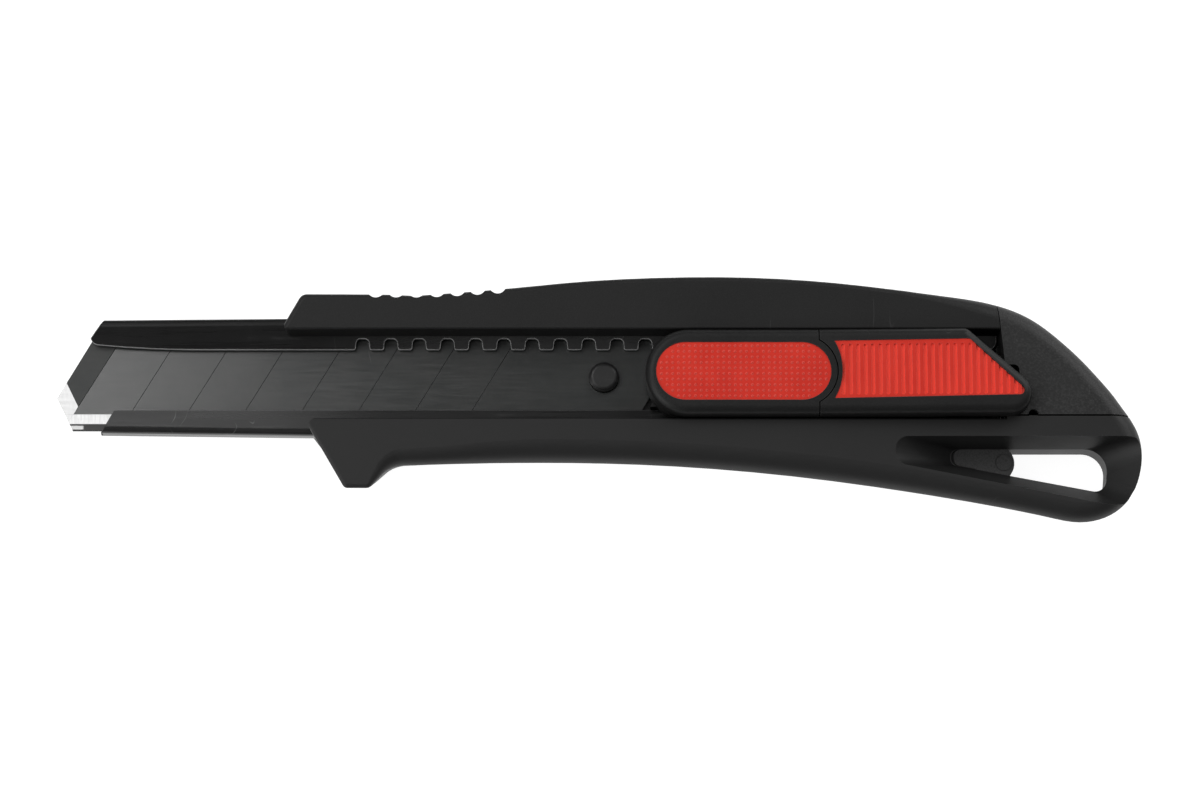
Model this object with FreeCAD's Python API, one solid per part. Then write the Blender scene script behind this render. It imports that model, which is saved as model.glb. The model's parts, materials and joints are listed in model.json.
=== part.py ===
import FreeCAD, Part
import math
import os

# Snap-off utility knife, lying on its back.  +X runs from the blade's tip to the tail, +Y from the
# guard to the thumb rest, +Z out of the back face.  The origin is on the back face, at mid length,
# on the centre line of the steel channel.  Millimetres.

os.makedirs("parts", exist_ok=True)
V = FreeCAD.Vector

# ---------------------------------------------------------------- driving dimensions
BODY_THICK = 14.4
BACK_WALL = 4.0
GROOVE_TOP = 8.9
GROOVE_CLEAR = 0.1
SLOT_LOW = -8.9
SLOT_HIGH = 6.95
SLOT_EDGE = 0.4
GRIP_TOP = -8.54
CAP_FOOT = -8.24
CAP_FRONT = 71.1
BAR_HIGH = (-52.45, 13.43)
BAR_LOW = (-56.45, 6.3)
GUARD_HIGH = (-51.7, -8.9)
GUARD_LOW = (-44.5, -21.25)

SHEET = 0.6
CHANNEL_LOW = -10.8
CHANNEL_HIGH = 10.35
NOSE_NARROWING = 0.5
CHANNEL_TOP = 8.6
CHANNEL_START = -91.0
CHANNEL_FULL = -52.0
CHANNEL_END = 70.1
UPPER_LIP = 4.74
LOWER_LIP = -6.25
NOTCH_FIRST = -42.0
NOTCH_PITCH = 5.0
NOTCH_COUNT = 15
NOTCH_TOP = 6.66

BLADE_LOW = -9.7
BLADE_HIGH = 8.3
BLADE_Z = 5.8
BLADE_THICK = 0.5
SEGMENT = 10.0
SCORE_LEAN = 1 / math.tan(math.radians(59.0))
FIRST_SCORE = -94.85
SCORE_COUNT = 8
BLADE_REAR = 5.14
STUD_X = 0.7
STUD_Y = -0.1
STUD_RADIUS = 2.63

SLIDER_Y = -1.07
SLIDER_HALF = 7.6
SLIDER_TOP = 17.2
SLIDER_NOSE = 7.93
PART_ARC_X = 35.2
PART_ARC_RADIUS = 6.2
SHOULDER_X = 38.15
PART_GAP = 0.2
BASE_END = 59.9
PAD_TRAVEL = 1.0
PAD_ROOF = 15.4
INSERT_FLOOR = 16.1
COVER_RISE = 0.035

PAWL_PIN_X = 32.0
PAWL_PIN_Y = 1.6
TOOTH_X = 18.0

# Levels and a reach that lie clear of the whole part, for cutters that pass right through it.
UNDER = -5.0
OVER = 40.0
FAR = 120.0


# ---------------------------------------------------------------- curves and outlines
def segment(a, b):
    return Part.LineSegment(V(a[0], a[1], 0), V(b[0], b[1], 0)).toShape()


def arc(a, middle, b):
    return Part.Arc(V(a[0], a[1], 0), V(middle[0], middle[1], 0), V(b[0], b[1], 0)).toShape()


def spline(points, start, end):
    """A smooth curve through points, with its direction at both ends."""
    curve = Part.BSplineCurve()
    curve.interpolate(
        Points=[V(x, y, 0) for x, y in points],
        InitialTangent=V(start[0], start[1], 0),
        FinalTangent=V(end[0], end[1], 0),
    )
    return curve.toShape()


def corner_arc(before, corner, after, radius):
    """The arc that rounds a corner, as its two tangent points and its middle."""
    a = (V(before[0], before[1], 0) - V(corner[0], corner[1], 0)).normalize()
    b = (V(after[0], after[1], 0) - V(corner[0], corner[1], 0)).normalize()
    half = a.getAngle(b) / 2
    reach = radius / math.tan(half)
    c = V(corner[0], corner[1], 0)
    bisector = (a + b).normalize()
    middle = c + bisector * (radius / math.sin(half) - radius)
    return c + a * reach, middle, c + b * reach


def rounded(corners, closed=True):
    """Edges of a polygon with rounded corners.  Each corner is (x, y, radius), radius 0 is sharp."""
    count = len(corners)
    edges = []
    last = None
    first = None
    for i, (x, y, radius) in enumerate(corners):
        inside = closed or 0 < i < count - 1
        if radius > 0 and inside:
            start, middle, end = corner_arc(corners[i - 1], (x, y), corners[(i + 1) % count], radius)
        else:
            start = middle = end = V(x, y, 0)
        if last is not None and not last.isEqual(start, 1e-6):
            edges.append(segment(last, start))
        if start is not end:
            edges.append(arc(start, middle, end))
        if first is None:
            first = start
        last = end
    if closed:
        edges.append(segment(last, first))
    return edges


def sharp(points):
    """A polygon without rounding, as corners."""
    return rounded([(x, y, 0) for x, y in points])


def prism(edges, z_low, z_high):
    """The solid of a closed plan outline between two levels."""
    face = Part.Face(Part.Wire(edges))
    face.translate(V(0, 0, z_low))
    return face.extrude(V(0, 0, z_high - z_low))


def block(x_low, x_high, y_low, y_high, z_low, z_high):
    size = (x_high - x_low, y_high - y_low, z_high - z_low)
    return Part.makeBox(*size, V(x_low, y_low, z_low))


def post(x, y, radius, z_low, z_high):
    return Part.makeCylinder(radius, z_high - z_low, V(x, y, z_low))


def bar_along_y(x, y_low, y_high, z, radius):
    return Part.makeCylinder(radius, y_high - y_low, V(x, y_low, z), V(0, 1, 0))


def cone(x, y, radius_low, radius_high, z_low, z_high):
    return Part.makeCone(radius_low, radius_high, z_high - z_low, V(x, y, z_low))


def across(edges, x):
    """A closed outline drawn in (y, z), stood up across X at one station."""
    turn = FreeCAD.Matrix(0, 0, 1, x, 1, 0, 0, 0, 0, 1, 0, 0, 0, 0, 0, 1)
    return Part.Wire(edges).transformShape(turn, True)


def along_x(edges, x_low, x_high):
    """The solid of a closed (y, z) outline between two stations on X."""
    return Part.Face(across(edges, x_low)).extrude(V(x_high - x_low, 0, 0))


def stadium(x_low, x_high, y, radius):
    return [
        segment((x_low, y - radius), (x_high, y - radius)),
        arc((x_high, y - radius), (x_high + radius, y), (x_high, y + radius)),
        segment((x_high, y + radius), (x_low, y + radius)),
        arc((x_low, y + radius), (x_low - radius, y), (x_low, y - radius)),
    ]


def step(low, high, t):
    """A smooth change from low to high as t goes from 0 to 1."""
    t = min(max(t, 0.0), 1.0)
    return low + (high - low) * t * t * (3 - 2 * t)


# ---------------------------------------------------------------- prisms with rounded edges
def value_at(quantity, point):
    return quantity(point) if callable(quantity) else quantity


def stations(edges):
    """For each edge of a counter-clockwise outline, its sample points and inward mitred directions."""
    runs = []
    for edge in edges:
        straight = isinstance(edge.Curve, Part.Line) or isinstance(edge.Curve, Part.LineSegment)
        count = 3 if straight and edge.Length < 3 else max(9, int(edge.Length / 2.0))
        points = edge.discretize(Number=count)
        normals = []
        for p in points:
            t = edge.tangentAt(edge.Curve.parameter(p)).normalize()
            normals.append(V(-t.y, t.x, 0))
        runs.append((points, normals))
    for i, (points, normals) in enumerate(runs):
        following = runs[(i + 1) % len(runs)][1]
        a, b = normals[-1], following[0]
        mitre = (a + b) * (1 / (1 + a.dot(b)))
        normals[-1] = mitre
        following[0] = mitre
    return runs


def patch(guide, rows, weights):
    """The surface across rows of matching points: straight for 2 rows, a quarter ellipse for 3.

    The guide is the plan outline's points, so that neighbouring patches share their edges.
    """
    lengths = [0.0]
    for a, b in zip(guide, guide[1:]):
        lengths.append(lengths[-1] + (b - a).Length)
    spots = [s / lengths[-1] for s in lengths]
    curves = []
    for row in rows:
        curve = Part.BSplineCurve()
        curve.interpolate(Points=row, Parameters=spots)
        curves.append(curve)
    poles = [list(column) for column in zip(*[c.getPoles() for c in curves])]
    degree = len(rows) - 1
    surface = Part.BSplineSurface()
    surface.buildFromPolesMultsKnots(
        poles,
        curves[0].getMultiplicities(),
        [degree + 1, degree + 1],
        curves[0].getKnots(),
        [0.0, 1.0],
        False,
        False,
        curves[0].Degree,
        degree,
        [weights for _ in poles],
    )
    return surface.toShape(), curves[0].toShape(), curves[-1].toShape()


def rounded_prism(edges, z_low, z_high, low_radius, high_radius, lean_in=V(0, 0, 0)):
    """A prism whose rim is rounded by radii, and ends at levels, that may change along the outline.

    A radius of 0 leaves that rim sharp.  The lean is how the wall's foot moves, as a vector.
    """
    faces = []
    rims = {}
    quarter = [1.0, math.sqrt(0.5), 1.0]
    for points, inward in stations(edges):
        walls = []
        ends_of_wall = (z_low, low_radius, 1, lean_in), (z_high, high_radius, -1, V(0, 0, 0))
        for level, radius, side, move in ends_of_wall:
            ends = []
            for p in points:
                foot = p + value_at(move, p)
                ends.append(V(foot.x, foot.y, value_at(level, p)))
            size = [value_at(radius, p) for p in points]
            wall = [e + V(0, 0, side * r) for e, r in zip(ends, size)]
            if max(size) > 0:
                rim = []
                for e, r, n in zip(ends, size, inward):
                    q = e + n * r
                    rim.append(V(q.x, q.y, value_at(level, q)))
                shape, _, rim_edge = patch(points, [wall, ends, rim], quarter)
                faces.append(shape)
                rims.setdefault(side, []).append(rim_edge)
            walls.append(wall)
        shape, low_edge, high_edge = patch(points, walls, [1.0, 1.0])
        faces.append(shape)
        if value_at(low_radius, points[0]) == 0:
            rims.setdefault(1, []).append(low_edge)
        if value_at(high_radius, points[0]) == 0:
            rims.setdefault(-1, []).append(high_edge)
    for rim_edges in rims.values():
        faces.append(Part.Face(Part.Wire(rim_edges)))
    shell = Part.Shell(faces)
    shell.sewShape()
    solid = Part.Solid(shell)
    if solid.Volume < 0:
        solid.reverse()
    return solid


# ---------------------------------------------------------------- handle body and end cap
def silhouette():
    """The outline shared by the handle body and its end cap, counter-clockwise from the guard."""
    guard = rounded(
        [
            (*GUARD_HIGH, 0),
            (*GUARD_LOW, 1.0),
            (-40.15, -21.25, 1.2),
            (-36.55, -16.97, 5.0),
            (-33.0, -16.88, 0),
        ],
        closed=False,
    )
    grip = spline(
        [
            (-33.0, -16.88),
            (-20.0, -16.4),
            (-7.0, -16.26),
            (14.0, -16.94),
            (35.0, -18.8),
            (55.9, -21.75),
            (76.7, -25.67),
        ],
        (1.0, 0.03),
        (0.97, -0.21),
    )
    tail = spline(
        [
            (76.7, -25.67),
            (84.2, -26.9),
            (88.8, -25.75),
            (92.2, -23.0),
            (94.0, -19.6),
            (94.78, -14.8),
            (93.8, -10.3),
            (91.15, -6.1),
            (86.0, 0.36),
        ],
        (0.97, -0.21),
        (-0.66, 0.75),
    )
    back = spline(
        [
            (86.0, 0.36),
            (80.9, 5.42),
            (75.7, 9.36),
            (70.4, 11.6),
            (59.85, 13.27),
            (44.0, 15.17),
            (28.2, 16.34),
            (12.3, 16.43),
            (-3.5, 15.66),
            (-19.4, 14.14),
            (-33.0, 13.1),
            (-50.0, 13.42),
        ],
        (-0.66, 0.75),
        (-1.0, 0.0),
    )
    nose = rounded(
        [(-50.0, 13.42, 0), (*BAR_HIGH, 1.6), (*BAR_LOW, 0), (*GUARD_HIGH, 0)],
        closed=False,
    )
    return guard + [grip, tail, back] + nose


def rim_radius(p):
    """How far the front rim is rounded: slight at the nose and guard, full along grip and tail."""
    if p.y < -8 and p.x < 84:
        behind_guard = step(0.6, 2.5, (p.x + 40.8) / 6.0)
        grip = step(behind_guard, 3.6, (p.x + 34.0) / 24.0)
        return step(grip, 3.0, (p.x - 50.0) / 25.0)
    if p.x > 54:
        return step(1.1, 3.0, (p.x - 54.0) / 18.0)
    return 0.9


def back_radius(p):
    """How far the back rim is rounded."""
    return step(0.6, 2.4, (p.x + 41.0) / 20.0)


def wall_lean(p):
    """How the foot of the outer wall moves in at the back, so that the handle narrows towards it."""
    across = min(0.25 * (-9.0 - p.y), 3.0) if p.y < -9.0 else min(0.15 * (9.0 - p.y), 0.0)
    along = min(0.2 * (84.0 - p.x), 0.0)
    return V(along, across, 0)


def outer_form():
    return rounded_prism(silhouette(), 0.0, BODY_THICK, back_radius, rim_radius, wall_lean)


def cap_zone(gap):
    """The region behind the body's rear end that the end cap fills, grown by a gap."""
    seam_low, seam_high = 2.0, 11.2
    corners = [
        (CAP_FRONT - 1.2 - gap, FAR),
        (CAP_FRONT - 1.2 - gap, seam_high),
        (CAP_FRONT - 0.3 - gap, seam_low),
        (CAP_FRONT - gap, CAP_FOOT - 2 * gap),
        (FAR, CAP_FOOT - 2 * gap),
        (FAR, FAR),
    ]
    return prism(sharp(corners), UNDER, OVER)


def slot_cutter():
    """The slot between the two bars, with its upper edges rounded."""
    bottom = (BACK_WALL + GROOVE_TOP) / 2
    edges = rounded(
        [
            (SLOT_LOW, bottom, 0),
            (SLOT_HIGH, bottom, 0),
            (SLOT_HIGH, BODY_THICK, SLOT_EDGE),
            (SLOT_HIGH + SLOT_EDGE, BODY_THICK, 0),
            (SLOT_HIGH + SLOT_EDGE, OVER, 0),
            (SLOT_LOW - SLOT_EDGE, OVER, 0),
            (SLOT_LOW - SLOT_EDGE, BODY_THICK, 0),
            (SLOT_LOW, BODY_THICK, SLOT_EDGE),
        ]
    )
    return along_x(edges, -FAR, CAP_FRONT)


def corner_cutter(before, corner, after, radius, z_low):
    """The sliver outside the arc that rounds one corner, from a level up."""
    start, middle, end = corner_arc(before, corner, after, radius)
    out = V(corner[0], corner[1], 0) + (V(corner[0], corner[1], 0) - middle) * 2
    edges = [arc(start, middle, end), segment(end, out), segment(out, start)]
    return prism(edges, z_low, OVER)


WEB_LOW = 3.0
WEB_HIGH = 8.0
TONGUE_END = (69.55, -15.77, 3.28)
LANYARD_RING = (71.0, -15.68)
DISH_TOP = -12.1
HOLE_TOP = -13.3
HOLE_FRONT = 61.6


def hole_outline(front):
    """The floor of the dish: the lanyard hole with the tongue in front of it."""
    corners = [
        (front, -16.05, 1.2),
        (88.7, -21.2, 2.0),
        (89.35, HOLE_TOP, 3.9),
        (front, HOLE_TOP, 1.2),
    ]
    return rounded(corners)


def dish():
    """The sloping recess round the lanyard hole, open towards the tail."""
    corners = [
        (51.5, -16.85, 2.3),
        (97.5, -26.1, 3.0),
        (97.5, DISH_TOP, 3.0),
        (51.5, DISH_TOP, 2.3),
    ]
    rim = Part.Wire(rounded(corners))
    rim.translate(V(0, 0, BODY_THICK))
    floor = Part.Wire(hole_outline(HOLE_FRONT))
    floor.translate(V(0, 0, WEB_HIGH))
    return Part.makeLoft([rim, floor], True, True)


def back_dish():
    """The shallow recess round the hole on the back face."""
    corners = [
        (58.0, -15.9, 1.8),
        (89.5, -22.0, 3.0),
        (90.3, DISH_TOP, 3.9),
        (58.0, DISH_TOP, 1.8),
    ]
    rim = Part.Wire(rounded(corners))
    floor = Part.Wire(hole_outline(HOLE_FRONT))
    floor.translate(V(0, 0, WEB_LOW))
    return Part.makeLoft([rim, floor], True, True)


def lanyard_hole():
    """The opening through the web, which ends at the tongue's round tip."""
    x, y, radius = TONGUE_END
    window = prism(hole_outline(HOLE_FRONT), UNDER, OVER)
    tongue = block(HOLE_FRONT - 1, x, -FAR, FAR, UNDER - 1, OVER + 1)
    return window.cut(tongue).cut(post(x, y, radius, UNDER - 1, OVER + 1))


def tongue_groove():
    """The thin moat round the front of the tongue."""
    depth, width, rear = 0.5, 0.45, 66.0
    front = HOLE_FRONT + 0.15
    outer = prism(hole_outline(front), WEB_HIGH - depth, WEB_HIGH + 1)
    inner = prism(hole_outline(front + width), UNDER, OVER)
    return outer.cut(inner).cut(block(rear, FAR, -FAR, FAR, UNDER, OVER))


def thumb_grooves():
    """The grooves of the thumb rest, which follow the rise of the body's upper edge."""
    width, depth, pitch, first, count = 2.0, 0.42, 3.57, -39.4, 7
    radius = (width**2 / 4 + depth**2) / (2 * depth)
    cuts = []
    for i in range(count):
        x = first + i * pitch
        top = 13.1 + step(0.0, 1.0, (x + 32.0) / 22.0)
        cuts.append(post(x, top + radius - depth, radius, UNDER, OVER))
    return cuts


def rivet_places():
    return [(-38.0, 0.0), (52.0, 0.0)]


RIVET_SHANK = 1.5
RIVET_HEAD = 2.6
RIVET_FLARE = 0.55
RIVET_CLEAR = 0.02


def make_handle_body(outer):
    body = outer.cut(cap_zone(0.15))
    groove_low, groove_high = CHANNEL_LOW - GROOVE_CLEAR, CHANNEL_HIGH + GROOVE_CLEAR
    body = body.cut(block(-FAR, FAR, groove_low, groove_high, BACK_WALL, GROOVE_TOP))
    body = body.cut(slot_cutter())
    slope = (BAR_HIGH[0] - BAR_LOW[0]) / (BAR_HIGH[1] - BAR_LOW[1])
    bar_corner = (BAR_LOW[0] + slope * (SLOT_HIGH - BAR_LOW[1]), SLOT_HIGH)
    body = body.cut(corner_cutter(BAR_HIGH, bar_corner, (0.0, SLOT_HIGH), 0.9, BACK_WALL + 1))
    body = body.cut(corner_cutter((0.0, SLOT_LOW), GUARD_HIGH, GUARD_LOW, 1.2, BACK_WALL + 1))
    body = body.cut(dish()).cut(back_dish()).cut(lanyard_hole()).cut(tongue_groove())
    for cut in thumb_grooves():
        body = body.cut(cut)
    x, y = LANYARD_RING
    ring_out, ring_in = 1.55, 1.38
    ring = post(x, y, ring_out, WEB_HIGH - 0.15, WEB_HIGH + 1)
    body = body.cut(ring.cut(post(x, y, ring_in, UNDER, OVER)))
    for x, y in rivet_places():
        shank, head = RIVET_SHANK + RIVET_CLEAR, RIVET_HEAD + RIVET_CLEAR
        body = body.cut(post(x, y, shank, UNDER, BACK_WALL + 1))
        body = body.cut(cone(x, y, head, shank, 0.0, RIVET_HEAD - RIVET_SHANK))
    bump = block(75.0, 76.4, GRIP_TOP - 0.6, GRIP_TOP + 0.2, 10.5, BODY_THICK - 0.5)
    return body.fuse(bump).removeSplitter()


def make_end_cap(outer):
    cap = outer.common(cap_zone(0.0))
    pocket_low, pocket_high, pocket_rear = -7.5, 0.65, 73.4
    pocket_plan = [
        (CAP_FRONT - 10, pocket_low, 0),
        (pocket_rear, pocket_low, 0.6),
        (pocket_rear, pocket_high, 1.0),
        (CAP_FRONT - 10, pocket_high, 0),
    ]
    pocket = prism(rounded(pocket_plan), GROOVE_TOP + 0.05, OVER)
    detent = post(75.7, CAP_FOOT, 0.9, 9.0, OVER)
    channel_end = CHANNEL_END + 0.15
    room = block(0.0, channel_end, CHANNEL_LOW, CHANNEL_HIGH + 0.15, BACK_WALL, GROOVE_TOP)
    rail = block(72.0, 90.0, -10.4, CAP_FOOT + 0.5, BACK_WALL + 0.15, GROOVE_TOP - 0.15)
    tongue = block(64.5, CAP_FRONT + 1, 5.6, 9.2, 4.8, 6.8)
    return cap.cut(pocket).cut(detent).cut(room).fuse(rail).fuse(tongue).removeSplitter()


# ---------------------------------------------------------------- steel channel
def channel_section(x, narrowing):
    """The sheet's closed section: web, side walls with rounded bends, and two sloping lips."""
    bottom, top = BACK_WALL, CHANNEL_TOP
    low, high = CHANNEL_LOW + narrowing, CHANNEL_HIGH - 0.7 * narrowing
    bend, lip_bend, inner_bend = 1.4, 0.9, 0.3
    upper_drop, lower_drop = 1.0, 0.7
    shoulder = 1.2
    outside = [
        (LOWER_LIP, top - lower_drop, 0),
        (low + shoulder, top, lip_bend),
        (low, top - 0.35, lip_bend),
        (low, bottom, bend),
        (high, bottom, bend),
        (high, top - 0.35, lip_bend),
        (high - shoulder, top, lip_bend),
        (UPPER_LIP, top - upper_drop, 0),
    ]
    inside = [
        (UPPER_LIP, top - upper_drop - SHEET, 0),
        (high - shoulder, top - SHEET, inner_bend),
        (high - SHEET, top - 0.6 - SHEET, inner_bend),
        (high - SHEET, bottom + SHEET, bend - SHEET),
        (low + SHEET, bottom + SHEET, bend - SHEET),
        (low + SHEET, top - 0.6 - SHEET, inner_bend),
        (low + shoulder, top - SHEET, inner_bend),
        (LOWER_LIP, top - lower_drop - SHEET, 0),
    ]
    return across(rounded(outside + inside), x)


LIP_CUT = 6.0


def notch(x):
    """One notch of the rack in the upper lip: rounded at its root and at the teeth's corners."""
    mouth, root, tooth = 1.28, 1.08, 0.4
    low = UPPER_LIP
    corners = [
        (x - mouth - 1.2, low - 1.0, 0),
        (x + mouth + 1.2, low - 1.0, 0),
        (x + mouth + 1.2, low, 0),
        (x + mouth, low, tooth),
        (x + root, NOTCH_TOP, 0.8),
        (x - root, NOTCH_TOP, 0.8),
        (x - mouth, low, tooth),
        (x - mouth - 1.2, low, 0),
    ]
    return prism(rounded(corners), LIP_CUT, OVER)


def upper_lip_front():
    """The sweep of the upper lip's free edge into its round front corner."""
    edges = [
        segment((-95, 0), (-72, 0)),
        segment((-72, 0), (-72, UPPER_LIP)),
        arc((-72, UPPER_LIP), (-80.8, 5.0), (-88.6, 5.55)),
        arc((-88.6, 5.55), (-89.75, 6.05), (-90.2, 7.3)),
        segment((-90.2, 7.3), (-95, 7.3)),
        segment((-95, 7.3), (-95, 0)),
    ]
    return prism(edges, LIP_CUT, OVER)


def make_channel():
    nose = channel_section(CHANNEL_START, NOSE_NARROWING)
    full = channel_section(CHANNEL_FULL, 0.0)
    channel = Part.makeLoft([nose, full], True, True)
    straight = Part.Face(channel_section(CHANNEL_FULL, 0.0))
    channel = channel.fuse(straight.extrude(V(CHANNEL_END - CHANNEL_FULL, 0, 0)))
    front = [
        (-FAR, 14, 0),
        (-84.9, 14, 0),
        (-90.4, 6.3, 0.8),
        (-88.0, -10.6, 0),
        (-87.8, -14, 0),
        (-FAR, -14, 0),
    ]
    channel = channel.cut(prism(rounded(front), UNDER, OVER)).cut(upper_lip_front())
    lower_front = [
        (-FAR, -3, 0),
        (-83.0, -3, 0),
        (-85.7, -6.3, 0.8),
        (-87.8, -10.6, 0),
        (-FAR, -10.6, 0),
    ]
    channel = channel.cut(prism(rounded(lower_front), LIP_CUT, OVER))
    for i in range(NOTCH_COUNT):
        channel = channel.cut(notch(NOTCH_FIRST + i * NOTCH_PITCH))
    rear_corner = (CHANNEL_END, UPPER_LIP)
    channel = channel.cut(corner_cutter((0, UPPER_LIP), rear_corner, (CHANNEL_END, FAR), 1.6, LIP_CUT))
    shank = RIVET_SHANK + RIVET_CLEAR
    web_low, web_high = BACK_WALL, BACK_WALL + SHEET
    for x, y in rivet_places():
        channel = channel.cut(post(x, y, shank, UNDER, web_high + 1))
        channel = channel.cut(cone(x, y, shank, RIVET_SHANK + RIVET_FLARE, web_low, web_high))
    return channel.removeSplitter()


def make_channel_rivets():
    rivets = []
    web_low, top = BACK_WALL + RIVET_CLEAR, BACK_WALL + SHEET
    flare = RIVET_SHANK + RIVET_FLARE - RIVET_CLEAR
    for x, y in rivet_places():
        rivet = post(x, y, RIVET_SHANK, 0.0, top)
        rivet = rivet.fuse(cone(x, y, RIVET_HEAD, RIVET_SHANK, 0.0, RIVET_HEAD - RIVET_SHANK))
        rivet = rivet.fuse(cone(x, y, RIVET_SHANK, flare, web_low, top))
        rivets.append(rivet.removeSplitter())
    return Part.makeCompound(rivets)


# ---------------------------------------------------------------- blade
def lean(y):
    """How far a line at the score angle has moved along X at height y."""
    return (y - BLADE_LOW) * SCORE_LEAN


def scored_segments(x_low):
    """The plan region of the blade on the tail side of a score line that starts at x_low."""
    below, above = BLADE_LOW - 0.2, BLADE_HIGH + 0.2
    low, high = (x_low + lean(below), below), (x_low + lean(above), above)
    return sharp([low, (FAR, below), (FAR, above), high])


def make_blade():
    """The snap-off blade: a ground edge with a second bevel, a ground tip, and score lines."""
    middle = BLADE_Z + BLADE_THICK / 2
    half = BLADE_THICK / 2
    bevel_y, second_y = -6.65, -8.4
    second_half, edge_half = 0.14, 0.02
    section = [
        (BLADE_HIGH, middle - half),
        (BLADE_HIGH, middle + half),
        (bevel_y, middle + half),
        (second_y, middle + second_half),
        (BLADE_LOW, middle + edge_half),
        (BLADE_LOW, middle - edge_half),
        (second_y, middle - second_half),
        (bevel_y, middle - half),
    ]
    strip = along_x(sharp(section), -FAR, FAR)
    tip_low = (-93.04, BLADE_LOW)
    tip_high = (-96.0, -3.8)
    plan = [
        tip_low,
        (BLADE_REAR, BLADE_LOW),
        (BLADE_REAR + lean(BLADE_HIGH), BLADE_HIGH),
        (-89.0, BLADE_HIGH),
        tip_high,
    ]
    blade = strip.common(prism(sharp(plan), UNDER, OVER))
    along = V(tip_high[0] - tip_low[0], tip_high[1] - tip_low[1], 0).normalize()
    inward = V(along.y, -along.x, 0)
    bevel, edge = 2.7, 0.03
    keep = prism(scored_segments(FIRST_SCORE), UNDER, OVER)
    for side in (1, -1):
        corner = V(tip_low[0], tip_low[1], middle) - along * 4
        a = corner + V(0, 0, side * edge) - inward * 0.5
        b = corner + inward * bevel + V(0, 0, side * half)
        c = b + V(0, 0, side * 0.3)
        d = a + V(0, 0, side * 0.6)
        wedge = Part.Face(Part.makePolygon([a, b, c, d, a])).extrude(along * 14)
        blade = blade.cut(wedge.cut(keep))
    top = BLADE_Z + BLADE_THICK
    groove_half, groove_deep, over = 0.07, 0.08, 0.2
    for i in range(SCORE_COUNT):
        x = FIRST_SCORE + i * SEGMENT
        low_y, high_y = BLADE_LOW - over, BLADE_HIGH + over
        start = V(x + lean(low_y), low_y, top)
        end = V(x + lean(high_y), high_y, top)
        a = start + V(-groove_half, 0, 0.01)
        b = start + V(groove_half, 0, 0.01)
        c = start - V(0, 0, groove_deep)
        blade = blade.cut(Part.Face(Part.makePolygon([a, b, c, a])).extrude(end - start))
    return blade.cut(post(STUD_X, STUD_Y, STUD_RADIUS + 0.07, UNDER, OVER))


# ---------------------------------------------------------------- carrier, stud and rivets
CARRIER_LOW = 4.7
CARRIER_HIGH = 5.7
CARRIER_RIVETS = [(41.0, SLIDER_Y), (48.5, SLIDER_Y)]
CARRIER_RIVET_RADIUS = 1.0
CARRIER_RIVET_HEAD = 1.75
CARRIER_RIVET_TOP = 8.4
COVER_SCREWS = [(45.0, SLIDER_Y + 3.2), (57.0, SLIDER_Y)]
SCREW_RADIUS = 0.95
SCREW_HEAD = 1.8
SCREW_HEAD_TOP = 7.3
SCREW_TOP = 15.3
STUD_SHANK = 1.5
PAWL_PIN_RADIUS = 0.8
FIT = 0.02


def make_carrier():
    nose, shoulder, rear = -3.6, 0.0, 52.0
    plan = [
        (nose, -5.2, 1.5),
        (shoulder, -8.8, 1.5),
        (rear, -8.8, 1.0),
        (rear, 8.4, 1.0),
        (shoulder, 8.4, 1.5),
        (nose, 4.8, 1.5),
    ]
    plate = prism(rounded(plan), CARRIER_LOW, CARRIER_HIGH)
    plate = plate.cut(post(STUD_X, STUD_Y, STUD_SHANK + FIT, UNDER, OVER))
    plate = plate.cut(post(PAWL_PIN_X, PAWL_PIN_Y, PAWL_PIN_RADIUS + FIT, UNDER, OVER))
    shank, head = CARRIER_RIVET_RADIUS + FIT, CARRIER_RIVET_HEAD + FIT
    for x, y in CARRIER_RIVETS:
        plate = plate.cut(post(x, y, shank, UNDER, OVER))
        plate = plate.cut(cone(x, y, head, shank, CARRIER_LOW, CARRIER_LOW + head - shank))
    return plate


def make_stud():
    base, shoulder, crown, top = CARRIER_HIGH + FIT, 7.25, 7.6, 7.7
    crown_radius, top_radius = 2.2, 1.9
    stud = post(STUD_X, STUD_Y, STUD_SHANK, CARRIER_LOW + 0.05, base + 0.5)
    stud = stud.fuse(post(STUD_X, STUD_Y, STUD_RADIUS, base, shoulder))
    stud = stud.fuse(cone(STUD_X, STUD_Y, STUD_RADIUS, crown_radius, shoulder, crown))
    stud = stud.fuse(cone(STUD_X, STUD_Y, crown_radius, top_radius, crown, top))
    return stud.removeSplitter()


def make_carrier_rivets():
    rivets = []
    shank, head = CARRIER_RIVET_RADIUS, CARRIER_RIVET_HEAD
    for x, y in CARRIER_RIVETS:
        rivet = post(x, y, shank, CARRIER_LOW, CARRIER_RIVET_TOP)
        rivet = rivet.fuse(cone(x, y, head, shank, CARRIER_LOW, CARRIER_LOW + head - shank))
        rivets.append(rivet.removeSplitter())
    return Part.makeCompound(rivets)


# ---------------------------------------------------------------- slider base
BASE_LOW = 9.0
BASE_PAD_TOP = 11.4
BASE_REAR_TOP = 13.0
RIB_XS = (13.0, 26.0)
SPRING_XS = (19.5, 32.0)
PAD_PIN_RADIUS = 0.6
PAD_PIN_Z = 13.4
PAD_PIN_HALF = 6.5
PAWL_PIN_TOP = 10.4
LEAF_Y = -8.0
LEAF_WIDTH = 1.8


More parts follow.
